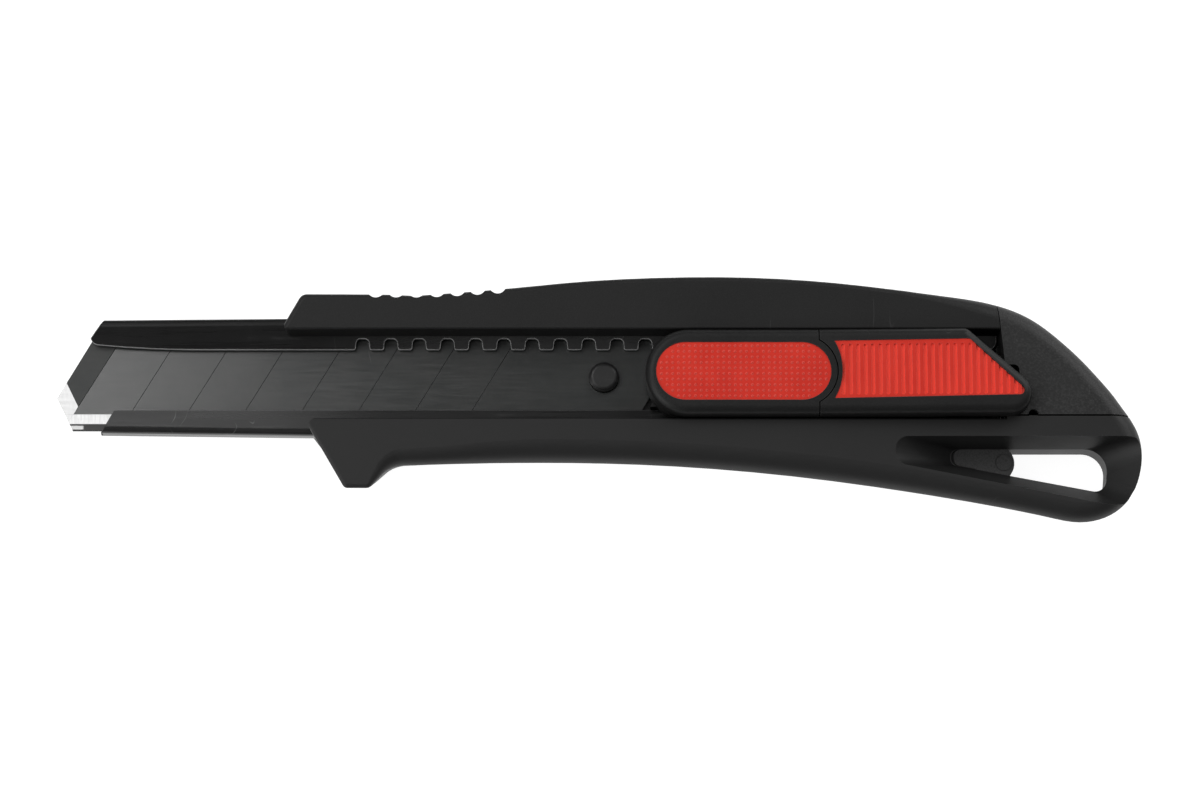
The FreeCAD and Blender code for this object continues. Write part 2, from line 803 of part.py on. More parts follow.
def slider_outline(inset):
    """The slider's whole plan: round nose, straight sides, slanted and rounded tail."""
    half = SLIDER_HALF - inset
    nose = SLIDER_NOSE + SLIDER_HALF
    top, bottom = SLIDER_Y + half, SLIDER_Y - half
    tail_radius, tail_x = 3.6, 71.6
    tip = tail_radius - inset
    slant = math.radians(42.0)
    centre = V(tail_x, SLIDER_Y - SLIDER_HALF + tail_radius, 0)
    leave = centre + V(math.sin(slant), math.cos(slant), 0) * tip
    middle = centre + V(math.cos(slant / 2), -math.sin(slant / 2), 0) * tip
    rise = top - leave.y
    shoulder = (leave.x - rise / math.tan(slant), top)
    top_corner = corner_arc((nose, top), shoulder, (leave.x, leave.y), 1.6 - inset / 2)
    return [
        segment((nose, bottom), (centre.x, bottom)),
        arc((centre.x, bottom), middle, leave),
        segment(leave, top_corner[2]),
        arc(top_corner[2], top_corner[1], top_corner[0]),
        segment(top_corner[0], (nose, top)),
        arc((nose, top), (nose - half, SLIDER_Y), (nose, bottom)),
    ]


def pawl_pocket():
    front, rear, low, roof = 15.4, 38.2, -3.6, 8.55
    return block(front, rear, low, FAR, UNDER, roof)


def make_slider_base():
    body = prism(slider_outline(0.15), BASE_LOW, BASE_REAR_TOP)
    body = body.cut(block(BASE_END, FAR, -FAR, FAR, UNDER, OVER))
    body = body.cut(block(0, SHOULDER_X + 0.6, -FAR, FAR, BASE_PAD_TOP, OVER))
    body = body.cut(pad_zone(0.4, BASE_PAD_TOP))
    low, high = LOWER_LIP + 0.35, UPPER_LIP - 0.35
    front = BLADE_REAR + 1.4
    neck_plan = [
        (front + lean(low), low, 0),
        (BASE_END - 0.5, low, 0.5),
        (BASE_END - 0.5, high, 0.5),
        (front + lean(high), high, 0),
    ]
    neck = prism(rounded(neck_plan), CARRIER_HIGH, BASE_LOW + 0.5)
    body = body.fuse(neck).cut(pawl_pocket())
    rib_half_x, rib_half_y, rib_top = 1.4, 2.0, PAD_ROOF - PAD_TRAVEL - 0.2
    y_low, y_high = SLIDER_Y - rib_half_y, SLIDER_Y + rib_half_y
    for x in RIB_XS:
        rib = block(x - rib_half_x, x + rib_half_x, y_low, y_high, BASE_PAD_TOP - 0.5, rib_top)
        body = body.fuse(rib)
    r = PAD_PIN_RADIUS + 0.05
    bottom, top = PAD_PIN_Z - PAD_TRAVEL, PAD_PIN_Z
    for x in RIB_XS:
        body = body.cut(block(x - r, x + r, y_low - 1, y_high + 1, bottom, top))
        for z in (bottom, top):
            body = body.cut(bar_along_y(x, y_low - 1, y_high + 1, z, r))
    for x in SPRING_XS:
        body = body.fuse(post(x, SLIDER_Y, 0.9, BASE_PAD_TOP - 0.2, BASE_PAD_TOP + 1.2))
    body = body.cut(post(PAWL_PIN_X, PAWL_PIN_Y, PAWL_PIN_RADIUS + FIT, UNDER, PAWL_PIN_TOP + 0.1))
    for x, y in CARRIER_RIVETS:
        body = body.cut(post(x, y, CARRIER_RIVET_RADIUS + FIT, UNDER, CARRIER_RIVET_TOP + FIT))
    for x, y in COVER_SCREWS:
        body = body.cut(post(x, y, SCREW_RADIUS + 0.1, UNDER, OVER))
        body = body.cut(post(x, y, SCREW_HEAD + 0.05, UNDER, SCREW_HEAD_TOP))
    finger_hole = block(35.3, 37.7, -2.2, 1.2, BASE_LOW - 1, OVER)
    leaf_low, leaf_high = LEAF_Y - 0.15, LEAF_Y + LEAF_WIDTH + 0.15
    leaf_pocket = block(42.0, 58.5, leaf_low, leaf_high, BASE_LOW - 0.5, BASE_LOW + 1.0)
    return body.cut(finger_hole).cut(leaf_pocket).removeSplitter()


def make_slider_leaf():
    """The bowed leaf under the slider base that rides on the lower lip and takes up play."""
    front, rear, end_z = 42.4, 58.1, BASE_LOW + 0.65
    bow_z, thick = 8.68, 0.3
    ends = V(front, LEAF_Y, end_z), V(rear, LEAF_Y, end_z)
    under = Part.Arc(ends[0], V((front + rear) / 2, LEAF_Y, bow_z), ends[1]).toShape()
    upper = under.translated(V(0, 0, thick))
    sides = []
    for low, high in zip(under.Vertexes, upper.Vertexes):
        sides.append(Part.LineSegment(low.Point, high.Point).toShape())
    wire = Part.Wire([under, sides[1], upper, sides[0]])
    return Part.Face(wire).extrude(V(0, LEAF_WIDTH, 0))


# ---------------------------------------------------------------- thumb pad
def pad_zone(gap, z_low=0.0):
    """Everything forward of the curved parting line, grown by a gap, above a level."""
    radius = PART_ARC_RADIUS + gap
    x = SHOULDER_X + gap
    reach = math.sqrt(radius**2 - (x - PART_ARC_X) ** 2)
    edges = [
        segment((0, -FAR), (x, -FAR)),
        segment((x, -FAR), (x, SLIDER_Y - reach)),
        arc((x, SLIDER_Y - reach), (PART_ARC_X + radius, SLIDER_Y), (x, SLIDER_Y + reach)),
        segment((x, SLIDER_Y + reach), (x, FAR)),
        segment((x, FAR), (0, FAR)),
        segment((0, FAR), (0, -FAR)),
    ]
    return prism(edges, z_low, OVER)


INSERT_RADIUS = 5.15
INSERT_LEFT = 14.9


def make_thumb_pad():
    low = BASE_PAD_TOP + PAD_TRAVEL + 0.2
    pad = rounded_prism(slider_outline(0.0), low, SLIDER_TOP, 0, 1.5)
    pad = pad.common(pad_zone(0.0))
    cavity = prism(stadium(15.5, 32.6, SLIDER_Y, 6.0), low - 1, PAD_ROOF)
    pad = pad.cut(cavity)
    insert = stadium(INSERT_LEFT, PART_ARC_X, SLIDER_Y, INSERT_RADIUS)
    pad = pad.cut(prism(insert, INSERT_FLOOR, OVER))
    half = PAD_PIN_HALF + 0.1
    for x in RIB_XS:
        pad = pad.cut(bar_along_y(x, SLIDER_Y - half, SLIDER_Y + half, PAD_PIN_Z, PAD_PIN_RADIUS))
    root = PAD_ROOF + 0.2
    wedge = [(-1.9, root), (-1.9, 8.3), (0.05, 8.3), (0.5, 9.1), (0.5, root)]
    finger = along_x(sharp(wedge), 35.6, 37.4)
    return pad.fuse(finger).removeSplitter()


def make_pad_grip():
    """The soft insert of the thumb pad, with its rows of small raised dots."""
    top = SLIDER_TOP - 0.15
    outline = stadium(INSERT_LEFT, PART_ARC_X, SLIDER_Y, INSERT_RADIUS - 0.03)
    insert = prism(outline, INSERT_FLOOR, top)
    dots = []
    pitch, rows, columns = 0.99, 10, 30
    reach = INSERT_RADIUS - 0.45
    middle_x = (INSERT_LEFT + PART_ARC_X) / 2
    for row in range(rows):
        y = (row - (rows - 1) / 2) * pitch
        end = (PART_ARC_X - INSERT_LEFT) / 2 + math.sqrt(max(reach**2 - y**2, 0.0))
        for column in range(columns):
            x = (column - (columns - 1) / 2) * pitch
            if abs(x) <= end and abs(y) < reach:
                dots.append(cone(middle_x + x, SLIDER_Y + y, 0.28, 0.12, top - 0.05, top + 0.13))
    return insert.fuse(dots)


def make_pad_pins():
    pins = []
    y_low, y_high = SLIDER_Y - PAD_PIN_HALF, SLIDER_Y + PAD_PIN_HALF
    for x in RIB_XS:
        pins.append(bar_along_y(x, y_low, y_high, PAD_PIN_Z, PAD_PIN_RADIUS - FIT))
    return Part.makeCompound(pins)


def make_pad_springs():
    wire, coil_radius, turns = 0.2, 1.45, 4
    bottom = BASE_PAD_TOP + wire + 0.05
    height = PAD_ROOF - BASE_PAD_TOP - 2 * wire - 0.15
    climb = height / turns / (2 * math.pi * coil_radius)
    springs = []
    for x in SPRING_XS:
        path = Part.makeHelix(height / turns, height, coil_radius)
        ring = Part.Wire(Part.makeCircle(wire, V(coil_radius, 0, 0), V(0, 1, climb)))
        coil = Part.Wire(path).makePipeShell([ring], True, True)
        coil.translate(V(x, SLIDER_Y, bottom))
        springs.append(coil)
    return Part.makeCompound(springs)


# ---------------------------------------------------------------- locking pawl
PAWL_LOW = 6.5
PAWL_HIGH = 8.1


def make_pawl():
    plan = [
        (TOOTH_X - 0.45, 3.4, 0),
        (TOOTH_X - 0.25, 6.25, 0.3),
        (TOOTH_X + 0.85, 6.25, 0.3),
        (TOOTH_X + 1.0, 3.4, 0.3),
        (PAWL_PIN_X, 3.6, 0.5),
        (37.0, 2.6, 0.5),
        (37.0, 0.35, 0.5),
        (PAWL_PIN_X, -0.4, 0.5),
        (TOOTH_X - 1.6, 0.6, 0.8),
        (TOOTH_X - 1.6, 3.4, 0.8),
    ]
    pawl = prism(rounded(list(reversed(plan))), PAWL_LOW, PAWL_HIGH)
    return pawl.cut(post(PAWL_PIN_X, PAWL_PIN_Y, PAWL_PIN_RADIUS + 0.05, UNDER, OVER))


def make_pawl_pin():
    return post(PAWL_PIN_X, PAWL_PIN_Y, PAWL_PIN_RADIUS, CARRIER_LOW, PAWL_PIN_TOP)


def make_pawl_spring():
    """The leaf that presses the pawl's tooth into the rack."""
    edges = [
        arc((20.0, 0.42), (24.0, -1.6), (34.0, -3.2)),
        segment((34.0, -3.2), (34.0, -3.5)),
        arc((34.0, -3.5), (24.0, -1.9), (20.0, 0.12)),
        segment((20.0, 0.12), (20.0, 0.42)),
    ]
    return prism(edges, PAWL_LOW + 0.1, PAWL_HIGH - 0.1)


# ---------------------------------------------------------------- rear cover
def cover_top(p):
    """The rear cover's face rises slightly towards the tail."""
    return SLIDER_TOP + COVER_RISE * (p.x - PART_ARC_X)


def above_cover(offset):
    """Everything above the rear cover's face, moved by an offset."""
    corners = []
    for x in (0, FAR):
        corners.append(V(x, -FAR, cover_top(V(x, 0, 0)) + offset))
    corners.append(V(FAR, -FAR, OVER))
    corners.append(V(0, -FAR, OVER))
    return Part.Face(Part.makePolygon(corners + corners[:1])).extrude(V(0, 2 * FAR, 0))


def insert_outline(inset):
    """The ribbed insert: nearly straight sides, slanted tail, and a front hollowed round the pad."""
    front, depth = 40.85 + inset, 1.42
    front_top, front_low = 4.3 - inset, -5.97 + inset
    middle = (front_top + front_low) / 2
    plan = [
        (front, front_low, 0),
        (75.0 - 2 * inset, -5.5 + inset, 0.8),
        (64.5 - inset, 4.5 - inset, 0.9),
        (front, front_top, 0),
    ]
    edges = rounded(plan, closed=False)
    edges.append(arc((front, front_top), (front + depth, middle), (front, front_low)))
    return edges


def make_rear_cover():
    cover = rounded_prism(slider_outline(0.0), BASE_REAR_TOP + 0.05, cover_top, 0, 1.5)
    cover = cover.cut(pad_zone(PART_GAP))
    cover = cover.cut(block(BASE_END + 0.3, FAR, -FAR, FAR, UNDER, BODY_THICK + 0.3))
    cover = cover.cut(prism(insert_outline(0.0), INSERT_FLOOR + 0.2, OVER))
    for x, y in COVER_SCREWS:
        cover = cover.cut(post(x, y, SCREW_RADIUS + 0.03, UNDER, SCREW_TOP + 0.2))
    return cover


def make_rear_grip():
    """The soft insert of the rear cover, with ribs across it."""
    sunk = -0.15
    grip = prism(insert_outline(0.03), INSERT_FLOOR + 0.2, OVER / 2).cut(above_cover(sunk))
    pitch, width, end_radius, deep, count = 1.3, 0.62, 0.28, 0.35, 26
    first, rib_low, rib_high = 42.4, -5.35, 3.7
    for i in range(count):
        x = first + i * pitch
        z = cover_top(V(x, 0, 0)) + sunk
        left, right = x - width / 2, x + width / 2
        slot = []
        for corner in ((left, rib_low), (right, rib_low), (right, rib_high), (left, rib_high)):
            slot.append((*corner, end_radius))
        grip = grip.cut(prism(rounded(slot), z - deep, OVER))
    return grip


def make_cover_screws():
    screws = []
    for x, y in COVER_SCREWS:
        shank = post(x, y, SCREW_RADIUS, CARRIER_HIGH + 0.4, SCREW_TOP)
        head = post(x, y, SCREW_HEAD, CARRIER_HIGH + 0.3, SCREW_HEAD_TOP)
        screws.append(shank.fuse(head).removeSplitter())
    return Part.makeCompound(screws)


# ---------------------------------------------------------------- assembly
def main():
    outer = outer_form()
    nodes = {
        "handle_body": make_handle_body(outer),
        "end_cap": make_end_cap(outer),
        "blade_channel": make_channel(),
        "channel_rivets": make_channel_rivets(),
        "blade": make_blade(),
        "blade_carrier": make_carrier(),
        "blade_stud": make_stud(),
        "carrier_rivets": make_carrier_rivets(),
        "slider_base": make_slider_base(),
        "slider_leaf_spring": make_slider_leaf(),
        "thumb_pad": make_thumb_pad(),
        "thumb_pad_grip": make_pad_grip(),
        "thumb_pad_pins": make_pad_pins(),
        "pad_return_springs": make_pad_springs(),
        "lock_pawl": make_pawl(),
        "pawl_pin": make_pawl_pin(),
        "pawl_spring": make_pawl_spring(),
        "rear_cover": make_rear_cover(),
        "rear_cover_grip": make_rear_grip(),
        "rear_cover_screws": make_cover_screws(),
    }
    for name, shape in nodes.items():
        shape.exportStep("parts/" + name + ".step")
        box = shape.BoundBox
        print(
            "%-20s solids %d valid %s volume %9.2f  x %6.1f %6.1f y %6.1f %6.1f z %5.2f %5.2f"
            % (
                name,
                len(shape.Solids),
                shape.isValid(),
                shape.Volume,
                box.XMin,
                box.XMax,
                box.YMin,
                box.YMax,
                box.ZMin,
                box.ZMax,
            )
        )


main()
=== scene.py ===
import json
import math

import bpy
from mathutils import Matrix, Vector


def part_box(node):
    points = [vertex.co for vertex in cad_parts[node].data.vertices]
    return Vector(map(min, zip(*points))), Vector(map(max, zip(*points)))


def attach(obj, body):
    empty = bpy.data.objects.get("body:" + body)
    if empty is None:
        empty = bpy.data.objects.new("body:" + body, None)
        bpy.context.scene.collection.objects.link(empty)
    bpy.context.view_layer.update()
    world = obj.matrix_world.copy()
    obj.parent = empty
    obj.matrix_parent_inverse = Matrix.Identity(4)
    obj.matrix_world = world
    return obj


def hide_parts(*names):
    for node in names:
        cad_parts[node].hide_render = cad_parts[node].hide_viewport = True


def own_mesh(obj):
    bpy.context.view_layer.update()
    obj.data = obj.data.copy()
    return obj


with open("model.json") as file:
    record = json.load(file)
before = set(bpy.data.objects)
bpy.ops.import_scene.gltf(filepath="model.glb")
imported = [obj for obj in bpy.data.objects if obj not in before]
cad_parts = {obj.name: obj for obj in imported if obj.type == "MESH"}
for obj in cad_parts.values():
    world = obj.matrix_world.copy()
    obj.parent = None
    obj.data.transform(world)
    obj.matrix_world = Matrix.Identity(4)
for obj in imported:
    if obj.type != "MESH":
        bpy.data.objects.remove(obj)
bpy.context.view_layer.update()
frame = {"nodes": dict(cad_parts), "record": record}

# A snap-off utility knife lying on its back on a white table.  Metres, in the frame's own axes:
# +X towards the tail, +Y towards the thumb rest, +Z out of the slider side.

MM = 0.001
nodes = frame["nodes"]

# ---------------------------------------------------------------- places taken from the frame
body_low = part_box("handle_body")[0]
blade_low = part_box("blade")[0]
pad_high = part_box("thumb_pad")[1]
cover_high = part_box("rear_cover")[1]

# ---------------------------------------------------------------- sizes of the grind, coils and stage
BEVEL_HEIGHT = 3.05 * MM  # of the wide bevel, up from the edge
SECOND_HEIGHT = 1.3 * MM  # of the narrow bevel
TOE_LENGTH = 2.96 * MM  # from the tip back to where the edge begins
SPRING_WIRE = 0.2 * MM  # radius of the wire
FLOOR_HALF = 4.0
FLOOR_GAP = 0.2 * MM

# ---------------------------------------------------------------- looks that several finishes share
WHITE = (1, 1, 1, 1)
DUST_GREY = 0.28
HAIRLINE_GREY = 0.10
WORN_EDGE_GREY = 0.045
EDGE_RADIUS = 0.25 * MM
RIM_RADIUS = 0.30 * MM
RIB_RADIUS = 0.15 * MM
STREAK_DEPTH = 0.002 * MM
GRIND_DEPTH = 0.003 * MM
GRAIN_DEPTH = 0.012 * MM


# ---------------------------------------------------------------- node helpers
class Shader:
    """A material's node tree with short calls for the nodes that the finishes share."""

    def __init__(self, name):
        self.material = bpy.data.materials.new(name)
        self.material.use_nodes = True
        self.tree = self.material.node_tree
        self.surface = self.tree.nodes["Principled BSDF"]
        self.place = self.node("ShaderNodeTexCoord").outputs["Object"]

    def node(self, kind, **settings):
        made = self.tree.nodes.new(kind)
        for key, value in settings.items():
            setattr(made, key, value)
        return made

    def link(self, source, socket):
        self.tree.links.new(source, socket)

    def feed(self, value, socket):
        """Puts a number, a colour or another node's output into a socket."""
        if isinstance(value, bpy.types.NodeSocket):
            self.link(value, socket)
        else:
            socket.default_value = value

    def math(self, operation, a, b=0.0):
        made = self.node("ShaderNodeMath", operation=operation)
        self.feed(a, made.inputs[0])
        self.feed(b, made.inputs[1])
        return made.outputs[0]

    def times(self, *factors):
        """The product of two or more numbers or outputs."""
        product = factors[0]
        for factor in factors[1:]:
            product = self.math("MULTIPLY", product, factor)
        return product

    def ramp(self, value, low, high, to_low=0.0, to_high=1.0):
        """Carries a value from one range to another with soft ends."""
        made = self.node("ShaderNodeMapRange", interpolation_type="SMOOTHSTEP")
        self.feed(value, made.inputs["Value"])
        self.feed(low, made.inputs["From Min"])
        self.feed(high, made.inputs["From Max"])
        self.feed(to_low, made.inputs["To Min"])
        self.feed(to_high, made.inputs["To Max"])
        return made.outputs["Result"]

    def axis(self, name):
        """One coordinate of the surface point, in the frame's axes."""
        made = self.node("ShaderNodeSeparateXYZ")
        self.link(self.place, made.inputs[0])
        return made.outputs[name]

    def facing(self):
        """The vertical part of the surface's direction: 1 on a face that looks up, 0 on a wall."""
        made = self.node("ShaderNodeSeparateXYZ")
        self.link(self.node("ShaderNodeNewGeometry").outputs["Normal"], made.inputs[0])
        return made.outputs["Z"]

    def edges(self, radius):
        """1 along the edges between faces: where a rounded normal would leave the true one."""
        rounded = self.node("ShaderNodeBevel", samples=6)
        rounded.inputs["Radius"].default_value = radius
        true = self.node("ShaderNodeNewGeometry").outputs["Normal"]
        made = self.node("ShaderNodeVectorMath", operation="DOT_PRODUCT")
        self.link(rounded.outputs["Normal"], made.inputs[0])
        self.link(true, made.inputs[1])
        return self.ramp(made.outputs["Value"], 0.97, 0.80)

    def within(self, value, low, high, blur):
        """1 where a value lies between two limits, 0 outside, with soft ends."""
        rise = self.ramp(value, low - blur, low + blur)
        fall = self.ramp(value, high + blur, high - blur)
        return self.times(rise, fall)

    def stretched(self, scale):
        """The surface point with its axes scaled, for patterns drawn out along one of them."""
        made = self.node("ShaderNodeMapping")
        made.inputs["Scale"].default_value = scale
        self.link(self.place, made.inputs["Vector"])
        return made.outputs["Vector"]

    def noise(self, scale, detail=2.0, rough=0.5, vector=None):
        made = self.node("ShaderNodeTexNoise")
        self.link(vector or self.place, made.inputs["Vector"])
        made.inputs["Scale"].default_value = scale
        made.inputs["Detail"].default_value = detail
        made.inputs["Roughness"].default_value = rough
        return made.outputs["Fac"]

    def mix(self, amount, a, b):
        made = self.node("ShaderNodeMix", data_type="RGBA")
        self.feed(amount, made.inputs[0])
        self.feed(a, made.inputs[6])
        self.feed(b, made.inputs[7])
        return made.outputs[2]

    def specks(self, scale, share, size):
        """Sparse small spots, such as dust: a share of the cells hold one spot each."""
        cells = self.node("ShaderNodeTexVoronoi")
        self.link(self.place, cells.inputs["Vector"])
        cells.inputs["Scale"].default_value = scale
        spot = self.ramp(cells.outputs["Distance"], size, size * 0.5)
        pick = self.node("ShaderNodeSeparateColor")
        self.link(cells.outputs["Color"], pick.inputs[0])
        kept = self.math("LESS_THAN", pick.outputs[0], share)
        return self.times(spot, kept)

    def bump(self, height, distance):
        made = self.node("ShaderNodeBump")
        made.inputs["Distance"].default_value = distance
        made.inputs["Strength"].default_value = 1.0
        self.link(height, made.inputs["Height"])
        self.link(made.outputs["Normal"], self.surface.inputs["Normal"])

    def set(self, **values):
        """Feeds the surface's sockets; an underscore in a name stands for a space."""
        for key, value in values.items():
            self.feed(value, self.surface.inputs[key.replace("_", " ")])


def grey(value):
    return (value, value, value, 1.0)


# ---------------------------------------------------------------- finishes
def scratches(s, scale, share):
    """Sparse hairlines: thin bands of a stretched noise, kept only in some patches."""
    drawn = s.noise(scale, 1.0, 0.4, s.stretched((1.0, 0.12, 1.0)))
    line = s.ramp(s.math("ABSOLUTE", s.math("SUBTRACT", drawn, 0.5)), 0.005, 0.001)
    patch = s.ramp(s.noise(scale * 0.3, 2.0, 0.5), 0.70 - share, 0.76 - share)
    return s.times(line, patch)


def moulded(name, tone, grain_scale, grain_depth, rough, specular, dust_share, painted_light_y=None, inset=None):
    """Black moulded plastic with a spark-eroded grain, clouding, dust, hairlines and rubbed edges.

    painted_light_y gives two places in Y: the plastic is painted paler below the first and not above the
    second, a painted highlight for the stronger light on the lower grip.
    inset gives the level, in Z, of a flat face that is paler than the rest.
    """
    s = Shader(name)
    grain = s.noise(grain_scale, 3.0, 0.6)
    cloud = s.noise(60.0, 3.0, 0.55)
    dust = s.specks(260.0, dust_share, 0.030)
    base = s.mix(s.ramp(cloud, 0.3, 0.7), grey(tone * 0.88), grey(tone * 1.12))
    if painted_light_y is not None:
        low, high = painted_light_y
        # Painted light: the lower grip is painted paler than the upper bar, a painted highlight where more
        # light falls on it.
        painted_light = s.ramp(s.axis("Y"), high, low)
        base = s.mix(s.times(painted_light, 0.8), base, grey(tone * 3.0))
    if inset is not None:
        level = s.within(s.axis("Z"), inset - 0.25 * MM, inset + 0.05 * MM, 0.03 * MM)
        base = s.mix(s.times(level, s.ramp(s.facing(), 0.8, 0.95)), base, grey(0.055))
    base = s.mix(s.ramp(grain, 0.40, 0.75, 0.0, 0.7), base, grey(tone * 2.4))
    base = s.mix(s.times(scratches(s, 240.0, 0.06), 0.35), base, grey(HAIRLINE_GREY))
    base = s.mix(s.times(dust, 0.7), base, grey(DUST_GREY))
    wear = s.times(s.edges(EDGE_RADIUS), s.ramp(cloud, 0.3, 0.6, 0.3, 1.0))
    base = s.mix(s.times(wear, 0.6), base, grey(WORN_EDGE_GREY))
    rubbed = s.times(s.within(s.facing(), 0.35, 0.93, 0.05), s.ramp(cloud, 0.35, 0.65))
    matt = s.ramp(cloud, 0.2, 0.8, rough - 0.04, rough + 0.05)
    s.set(
        Base_Color=base,
        Roughness=s.math("SUBTRACT", matt, s.times(rubbed, 0.06)),
        Specular_IOR_Level=specular,
    )
    s.bump(grain, grain_depth)
    return s.material


def soft_red():
    """Red thermoplastic rubber, paler where ribs and dots are rubbed, with lint; its upright walls and the
    floors of its rear slots are painted paler, painted light that lifts the shade on them.
    """
    s = Shader("red_rubber_finish")
    cloud = s.noise(140.0, 4.0, 0.6)
    fine = s.noise(5200.0, 2.0, 0.5)
    deep_red = (0.56, 0.024, 0.013, 1)
    plain_red = (0.64, 0.034, 0.019, 1)
    painted_light_slot_red = (0.95, 0.085, 0.055, 1)
    painted_light_wall_pink = (0.74, 0.20, 0.17, 1)
    rubbed_pink = (0.78, 0.22, 0.19, 1)
    lint_pink = (0.85, 0.42, 0.38, 1)
    base = s.mix(s.ramp(cloud, 0.3, 0.75), deep_red, plain_red)
    # Painted light: upright walls are painted a paler pink to lift the shade on them.
    wall_painted_light = s.ramp(s.facing(), 0.95, 0.55)
    base = s.mix(s.times(wall_painted_light, 0.45), base, painted_light_wall_pink)
    base = s.mix(s.times(s.edges(RIB_RADIUS), 0.35), base, rubbed_pink)
    # Painted light: the floors of the rear slots, more than about 0.2 mm under the insert's top and behind
    # the pad, are painted a brighter red to lift the shade in them.
    rise = (cover_high.z - pad_high.z) / (cover_high.x - pad_high.x)
    surface = s.math("ADD", s.times(s.axis("X"), rise), pad_high.z - pad_high.x * rise)
    slot_painted_light = s.ramp(s.math("SUBTRACT", surface, s.axis("Z")), 0.18 * MM, 0.30 * MM)
    behind = s.ramp(s.axis("X"), pad_high.x - 0.1 * MM, pad_high.x)
    base = s.mix(s.times(slot_painted_light, behind), base, painted_light_slot_red)
    lint = s.specks(420.0, 0.06, 0.05)
    base = s.mix(s.times(lint, 0.5), base, lint_pink)
    s.set(
        Base_Color=base,
        Roughness=s.ramp(cloud, 0.2, 0.8, 0.52, 0.62),
        Specular_IOR_Level=0.18,
        Subsurface_Weight=0.08,
        Subsurface_Radius=(0.0006, 0.0002, 0.0001),
    )
    s.bump(fine, GRAIN_DEPTH)
    return s.material


def coated_steel(name, tone, rough, specular, cut_above=None):
    """Black satin coating on sheet steel, streaked along the sheet.

    Walls above the cut level are the sheared edges of the lips and the notches, where bare steel
    shows; along the free rims it is also a painted highlight, strong on the upper lip and faint on
    the lower, which is in shade.  The gloss is painted shade: the lower lip shines at its front and is
    dulled behind, under the bar's shadow, and the upper lip is dull at its front and shines at its rear.
    """
    s = Shader(name)
    streak = s.noise(700.0, 4.0, 0.65, s.stretched((0.05, 1.0, 1.0)))
    cloud = s.noise(90.0, 4.0, 0.6)
    base = s.mix(s.ramp(cloud, 0.3, 0.7), grey(tone * 0.85), grey(tone * 1.2))
    base = s.mix(s.times(scratches(s, 260.0, 0.10), 0.5), base, grey(0.22))
    rubs = s.times(s.ramp(streak, 0.58, 0.70), s.ramp(cloud, 0.45, 0.60))
    base = s.mix(s.times(rubs, 0.25), base, grey(0.12))
    metal, shine = 0.0, specular
    if cut_above is not None:
        upper = s.ramp(s.axis("Y"), -1.0 * MM, 1.0 * MM)
        cut = bare_rims(s, cut_above, upper)
        metal = s.times(cut, 0.55)
        base = s.mix(cut, base, grey(0.62))
        # Painted shade: the lips' gloss is lowered under the bar's shadow on the lower lip and at the upper
        # lip's front.
        shine = lip_painted_shade(s, specular, upper)
    s.set(
        Base_Color=base,
        Metallic=metal,
        Roughness=s.ramp(streak, 0.25, 0.75, rough - 0.06, rough + 0.10),
        Specular_IOR_Level=shine,
    )
    s.bump(streak, STREAK_DEPTH)
    return s.material


def bare_rims(s, cut_above, upper):
    """1 on the sheared walls of the lips and notches, and along the lips' free rims: bare steel that is
    partly wear and partly a painted highlight, full on the upper lip and faint on the lower lip, which is
    in shade.
    """
    wall = s.ramp(s.math("ABSOLUTE", s.facing()), 0.55, 0.35)
    lip = s.ramp(s.axis("Z"), cut_above - 0.05 * MM, cut_above + 0.05 * MM)
    inner = s.ramp(s.math("ABSOLUTE", s.axis("Y")), 9.0 * MM, 8.8 * MM)
    sheared = s.times(wall, lip, inner)
    rim_wear_and_highlight = s.times(s.edges(RIM_RADIUS), lip, inner)
    # Painted highlight: the rim's bare steel is full on the upper lip and cut to 0.12 on the lower lip,
    # which is in shade.
    return s.math("MAXIMUM", sheared, s.times(rim_wear_and_highlight, s.ramp(upper, 0.0, 1.0, 0.12, 1.0)))


def lip_painted_shade(s, specular, upper):
    """The gloss of the channel, lowered as painted shade: it fades rearwards on the lower half, where the
    bar's shadow falls on the lower lip, and grows rearwards on the upper, so the upper lip's front is
    darker.
    """
    front = -60.0 * MM
    low_gloss_painted_shade = s.ramp(s.axis("X"), front, -34.0 * MM, specular, specular * 0.45)
    high_gloss_painted_shade = s.ramp(s.axis("X"), front, -20.0 * MM, specular * 0.35, specular * 1.15)
    low_part = s.times(s.math("SUBTRACT", 1.0, upper), low_gloss_painted_shade)
    return s.math("ADD", low_part, s.times(upper, high_gloss_painted_shade))


def bare_steel(name, tone, rough):
    """Plain steel with fine drawing lines."""
    s = Shader(name)
    lines = s.noise(2600.0, 3.0, 0.6, s.stretched((0.08, 1.0, 1.0)))
    cloud = s.noise(150.0, 3.0, 0.5)
    base = s.mix(s.ramp(cloud, 0.3, 0.7), grey(tone * 0.92), grey(tone * 1.06))
    rough_lines = s.ramp(lines, 0.2, 0.8, rough - 0.08, rough + 0.1)
    s.set(Base_Color=base, Roughness=rough_lines, Metallic=1.0)
    s.bump(lines, GRIND_DEPTH)
    return s.material


